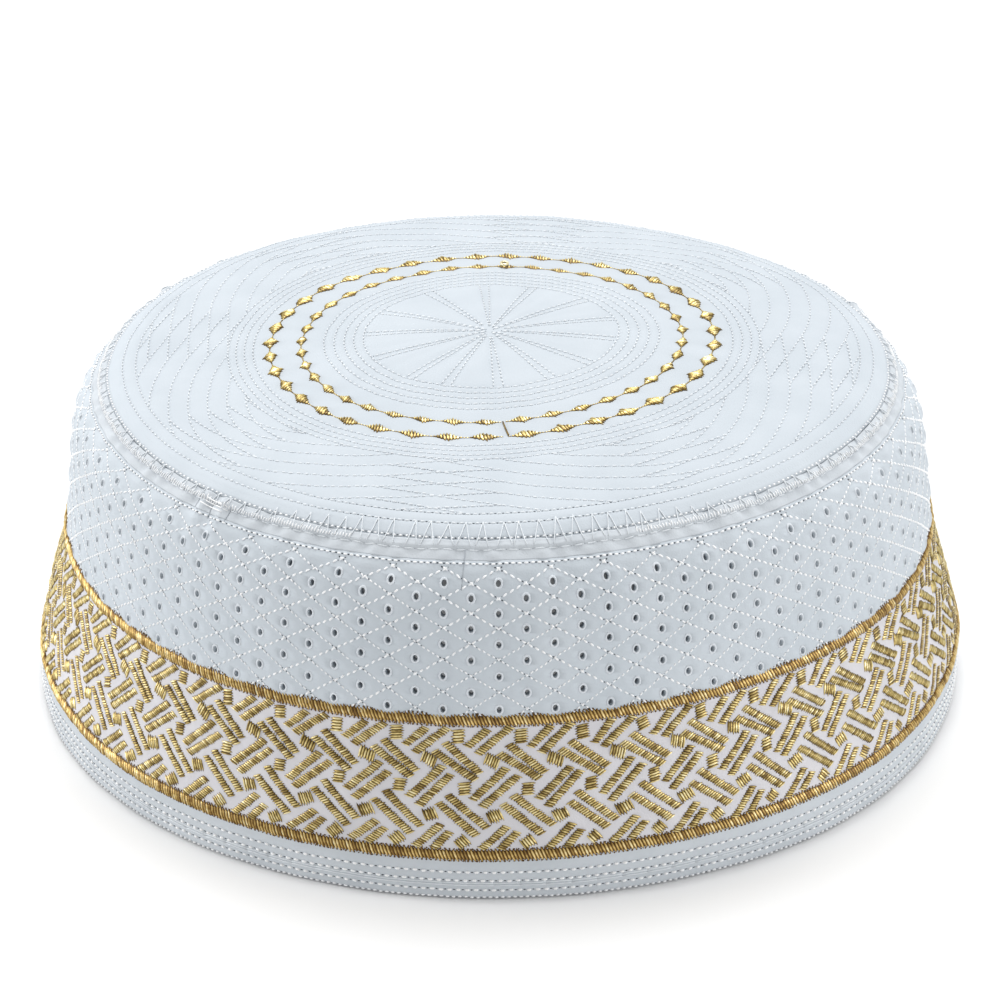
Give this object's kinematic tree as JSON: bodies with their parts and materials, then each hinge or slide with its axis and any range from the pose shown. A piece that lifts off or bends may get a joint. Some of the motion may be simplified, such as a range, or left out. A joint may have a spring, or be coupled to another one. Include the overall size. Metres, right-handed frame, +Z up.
{
  "type": "prayer cap",
  "caption": "Round quilted cloth prayer cap with a low flat crown, a pierced side panel and gold-bordered embroidered band above a folded hem.",
  "frame": {"origin": "on the surface the hem rests on, under the middle of the cap's bounding box", "axes": "+Z up through the crown, -Y towards the front of the cap as pictured, +X to the picture's right"},
  "size_m": [0.189, 0.1834, 0.0745],
  "materials": {
    "white_cotton": "quilted white cotton",
    "white_trim": "folded and overlocked white cotton",
    "gold_thread": "satin stitch in gold metallic thread"
  },
  "bodies": {
    "root": {"crown": "white_cotton", "crown_seam": "white_trim", "side_panel": "white_cotton", "upper_border": "gold_thread", "band_panel": "white_cotton", "lower_border": "gold_thread", "hem": "white_trim", "crown_chain_outer": "gold_thread", "crown_chain_inner": "gold_thread"}
  },
  "joints": []
}
